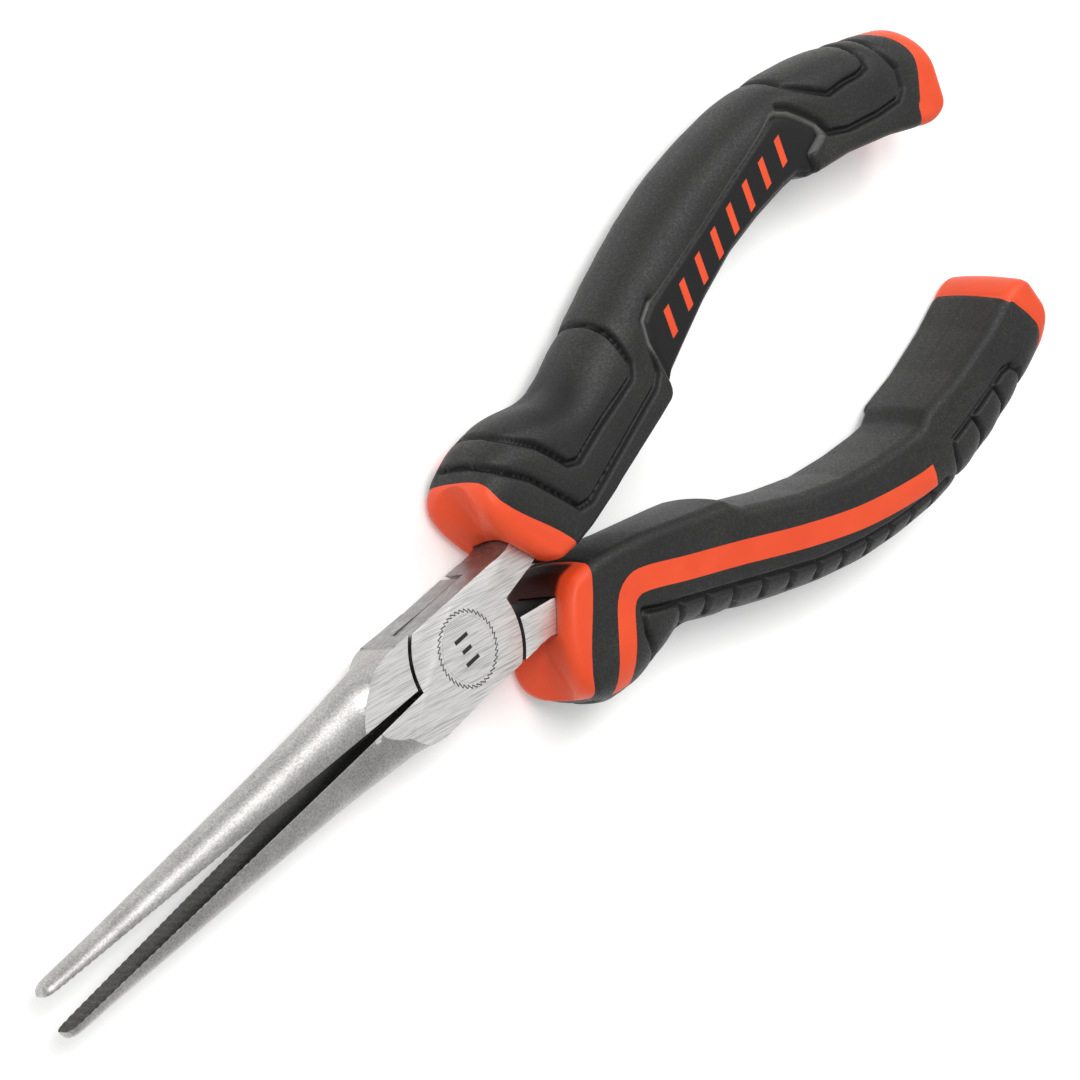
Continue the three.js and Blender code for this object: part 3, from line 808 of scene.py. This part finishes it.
COLLAR_EDGE = [
    (-13.1, 2), (-12.9, -0.2), (-12.4, -1.2), (-11.1, -3.2), (-9.2, -5.6), (-8.1, -7.2),
    (-7.6, -8.6), (-7.5, -13.5)]
CAP_EDGE = [
    (-66.0, 2), (-66.8, -8.4), (-67.6, -9.9), (-68.8, -12.0), (-69.2, -13.6), (-68.6, -15.4),
    (-67.6, -17.0), (-66.2, -23)]
STRIPE = [
    (-50.0, -16.4), (-47.7, -16.1), (-43.1, -15.1), (-38.75, -13.85), (-33.0, -11.7),
    (-26.5, -8.95), (-21.2, -6.8), (-16.8, -4.95), (-15.1, -4.7), (-13.8, -5.4), (-12.3, -7.6),
    (-11.2, -9.4), (-9.6, -12.4)]
STRIPE_WIDTH = 1.9
TREAD_FIRST, TREAD_PITCH, TREAD_COUNT = -18.9, 3.06, 11
END_TREADS = (-57.2, -61.1)


# %% The relief: how deep each point sinks
GROOVE, TREAD = (0.62, 0.46), (0.6, 0.48)     # width and depth
PANEL_DEPTH, PANEL_FOOT = 0.38, 0.14
SADDLE_DEPTH = 0.55


def bell(off, width):
    """1 on a line, fading to both sides."""
    return np.exp(-(off / width) ** 2)


def groove(line, x, y, width, depth):
    d = distance(line, x, y)
    channel = 1 - ease((d - 0.08 * width) / (0.62 * width))
    return depth * channel + 0.12 * bell(d, 1.0)       # the edges of the pads roll over


def tread_lines():
    lines = [TREAD_LINE, END_LINE]
    for x in TREAD_FIRST - TREAD_PITCH * np.arange(TREAD_COUNT):
        y = float(along(OUTER, x))
        top = min(y + 2.4, float(along(TREAD_LINE[2:], x)))
        lines.append([(x, top), (x + 0.5, y - 2)])
    for x in END_TREADS:
        y = float(along(OUTER, x))
        lines.append([(x, y + 3.9), (x - 0.4, y + 2.2), (x + 0.3, y - 2)])
    return lines


def relief(x, y, z):
    """How far each point of the skin sinks, in mm."""
    over = ease((z + 2.4) / 0.5)            # the thumb side's grooves wrap past the parting line
    thumb, finger = np.zeros_like(x), np.zeros_like(x)
    for line in THUMB_GROOVES:
        thumb = np.maximum(thumb, groove(line, x, y, *GROOVE))
    for line in tread_lines():
        finger = np.maximum(finger, groove(line, x, y, *TREAD))
    edge, within = distance(PANEL, x, y), inside(PANEL, x, y)
    thumb += PANEL_DEPTH * np.where(within, ease(edge / 0.5), 0) * ease((z - 2.6) / 0.6)
    thumb += PANEL_FOOT * np.where(within, bell(edge - 0.55, 0.16), 0) * ease((z - 3.2) / 0.3)
    seam = np.minimum(distance(COLLAR_EDGE, x, y), distance(CAP_EDGE, x, y))
    saddle = np.exp(-((x + 17.5) / 3.6) ** 2 - ((y + 11.5) / 3.4) ** 2)
    shared = 0.07 * bell(seam, 0.2) + SADDLE_DEPTH * saddle * ease((z + 3.9) / 4)
    return thumb * over + finger * (1 - over) + shared


def paint(mesh, name, values):
    """Keep one number for each point, for the rubber's shader to read."""
    mesh.attributes.new(name, "FLOAT", "POINT").data.foreach_set("value", values)


def sink(piece):
    mesh = piece.data
    count = len(mesh.vertices)
    co, normal = np.empty(count * 3), np.empty(count * 3)
    mesh.vertices.foreach_get("co", co)
    mesh.vertices.foreach_get("normal", normal)
    co, normal = co.reshape(-1, 3), normal.reshape(-1, 3)
    x, y, z = ((co - PIVOT_ARRAY) / MM).T
    depth = relief(x, y, z)
    co -= normal * (depth * MM)[:, None]
    mesh.vertices.foreach_set("co", co.ravel())
    paint(mesh, "hollow", np.clip(depth / 0.5, 0, 1))                # how deep in a groove
    # A painted highlight: the bevel round the sunk panel is marked here, and the rubber's shader
    # paints it lighter
    bevel = bell(distance(PANEL, x, y) - 0.3, 0.16) * (y < along(INNER, x) - 1.6)
    paint(mesh, "rim", np.where(inside(PANEL, x, y) & (z > 3.0), bevel, 0))   # round the panel
    mesh.update()
    print("deepest point of the relief:", round(float(depth.max()), 2), "mm")


sink(grip)

# %% [markdown]
# ### Two colours
# The orange parts are what lies inside a few upright prisms: the collar, the
# end cap, the stripe of the finger face and the slanted bars let into the
# panel, which stand where a name would be. The same tool cuts both colours,
# so their edges match exactly. Then both are hollowed for the tang, with a
# little room round it.

# %% The colour tool
BARS_FROM, BARS_TO, BARS_SAG, BAR_COUNT, BAR_TILT = (-31.2, -9.5), (-50.2, -14.3), 0.35, 8, 14
BAR = [(-0.85, -1.05), (-0.05, -1.05), (0.85, 1.05), (0.05, 1.05)]
PAST = 6                        # a prism that passes both faces of the grip
TANG_ROOM = [
    (-2, -3.95), (-7.4, -3.97), (-9.5, -4.72), (-13, -6.12), (-20, -8.22), (-28, -11.32),
    (-36, -14.32), (-41, -15.72), (-46.2, -16.42), (-46.2, -14.18), (-41, -13.28),
    (-36, -11.78), (-28, -8.48), (-20, -5.08), (-13, -2.83), (-9, -1.48), (-5.4, -0.83),
    (-2, -0.83)]


def ribbon(line, width):
    """Outline of a band of constant width along a line."""
    p = curve_through(line, 0.4)
    d = np.gradient(p, axis=0)
    d /= np.hypot(*d.T)[:, None]
    side = np.stack([-d[:, 1], d[:, 0]], 1) * width / 2
    return np.vstack([p + side, (p - side)[::-1]])


def slanted_bars():
    (ax, ay), (bx, by) = BARS_FROM, BARS_TO
    for k in range(BAR_COUNT):
        t = k / (BAR_COUNT - 1)
        cx, cy = ax + (bx - ax) * t, ay + (by - ay) * t - BARS_SAG * math.sin(math.pi * t)
        yield [(cx + x, cy + y) for x, y in turn(BAR, BAR_TILT)]


collar = [*curve_through(COLLAR_EDGE, 0.4), (0, -15), (4, -15), (4, 2)]
cap = [*curve_through(CAP_EDGE, 0.4), (-80, -23), (-80, 2)]
prisms = bmesh.new()
raise_plate(prisms, collar, -PAST, PAST)
raise_plate(prisms, cap, -PAST, PAST)
raise_plate(prisms, ribbon(STRIPE, STRIPE_WIDTH), -PAST, -2.6)
for bar in slanted_bars():
    raise_plate(prisms, bar, 2.4, PAST)
colour_tool = new_piece("colour_tool", prisms)

core = bpy.data.objects.new("orange_core_thumb_side", grip.data.copy())
bpy.context.scene.collection.objects.link(core)
sleeve = grip
sleeve.name = "black_sleeve_thumb_side"
carve(core, colour_tool, "INTERSECT")
carve(sleeve, colour_tool, "DIFFERENCE")
mouth = plate("mouth", TANG_ROOM, -T - 0.1, T + 0.1)
carve(core, mouth, "DIFFERENCE")
carve(sleeve, mouth, "DIFFERENCE")
discard(colour_tool, mouth)
for piece in (core, sleeve):
    for face in piece.data.polygons:
        face.use_smooth = True
    piece.data.set_sharp_from_angle(angle=math.radians(50))
    print(piece.name, len(piece.data.polygons), "faces")

# %% [markdown]
# ## Grip materials
# The core is glass-filled polypropylene, moulded in a satin tool: an even
# orange with a soft sheen. In the narrow slot between the two tangs it is
# painted near black: painted shade in the deep gap. The sleeve is
# thermoplastic rubber with a fine spark-eroded texture, which breaks its shine
# into small specks. Its grooves are painted darker by their depth, as painted
# shade in the hollows. The bevel round the sunk panel is painted lighter, as a
# painted highlight. Its two mould halves leave a hair line.

# %% Orange polypropylene and black rubber
# Where the orange is painted near black as shade between the tangs: half width, front and top,
# each given as where the fade starts and ends, in metres
SLOT_HALF_WIDTH, SLOT_FRONT, SLOT_TOP = (1.8e-3, 2.2e-3), (-12.4e-3, -12.0e-3), (1.9e-3, 2.3e-3)


def orange_polypropylene():
    mat, tree, shader = new_material("orange_polypropylene", {
        "Roughness": 0.46, "IOR": 1.49, "Specular IOR Level": 0.35})
    where = add(tree, "ShaderNodeTexCoord"), "Object"
    cloud = noise(tree, where, 220.0, 3.0)
    tone = ramp(tree, cloud, [(0.35, linear("#D8461F")), (0.65, linear("#E04D25"))])
    x, y, z = about_pivot(tree, where)
    # Painted shade: near the rivet and below the top of the tangs, the orange turns near black in
    # the deep slot between them
    across = fade(tree, calc(tree, "ABSOLUTE", y), *SLOT_HALF_WIDTH, 0.95, 0.0)
    front = fade(tree, x, *SLOT_FRONT, 0.0, 1.0)
    slot_shade = calc(tree, "MULTIPLY", across, front)
    slot_shade = calc(tree, "MULTIPLY", slot_shade, fade(tree, z, *SLOT_TOP))
    feed(tree, shader, {
        "Base Color": tint(tree, slot_shade, tone, "#1A0906"),
        "Normal": bump(tree, noise(tree, where, 1000 / 0.18, 2.0), 0.25, 0.008e-3)})
    return mat


def black_rubber():
    mat, tree, shader = new_material("black_thermoplastic_rubber", {
        "IOR": 1.5, "Specular IOR Level": 0.35})
    where = add(tree, "ShaderNodeTexCoord"), "Object"
    grain = noise(tree, where, 1000 / 0.2, 3.0, 0.7)
    both = calc(tree, "MULTIPLY_ADD", noise(tree, where, 160.0, 3.0), 0.4, grain)
    tone = ramp(tree, both, [
        (0.5, linear("#161615")), (0.72, linear("#1E1E1D")), (0.92, linear("#2F2F2D"))])
    # Painted shade: the rubber is darkened in the grooves, by how deep each point lies
    hollow = add(tree, "ShaderNodeAttribute", attribute_name="hollow"), "Fac"
    groove_shade = tint(tree, fade(tree, hollow, 0.25, 0.75, 0.0, 1.0), tone, "#080808")
    height = calc(tree, "ABSOLUTE", about_pivot(tree, where)[2])
    parted = tint(tree, fade(tree, height, 0.04e-3, 0.10e-3, 0.7, 0.0), groove_shade, "#0A0A0A")
    # Painted highlight: the bevel round the sunk panel is tinted lighter
    rim = add(tree, "ShaderNodeAttribute", attribute_name="rim"), "Fac"
    feed(tree, shader, {
        "Base Color": tint(tree, rim, parted, "#5C5C59"),
        "Roughness": fade(tree, grain, 0.3, 0.7, 0.62, 0.42),
        "Normal": bump(tree, grain, 0.5, 0.02e-3)})
    return mat


for piece, finish in ((core, orange_polypropylene()), (sleeve, black_rubber())):
    piece.data.materials.clear()
    piece.data.materials.append(finish)

# %% The other grip, turned over, and both on their bodies
core_b = turned_over(core, "orange_core_finger_side")
sleeve_b = turned_over(sleeve, "black_sleeve_finger_side")
settle(core, THUMB_BODY, "grip_core_thumb_side")
settle(sleeve, THUMB_BODY, "grip_sleeve_thumb_side")
settle(core_b, FINGER_BODY, "grip_core_finger_side")
settle(sleeve_b, FINGER_BODY, "grip_sleeve_finger_side")

# %% Update the scene
bpy.context.view_layer.update()
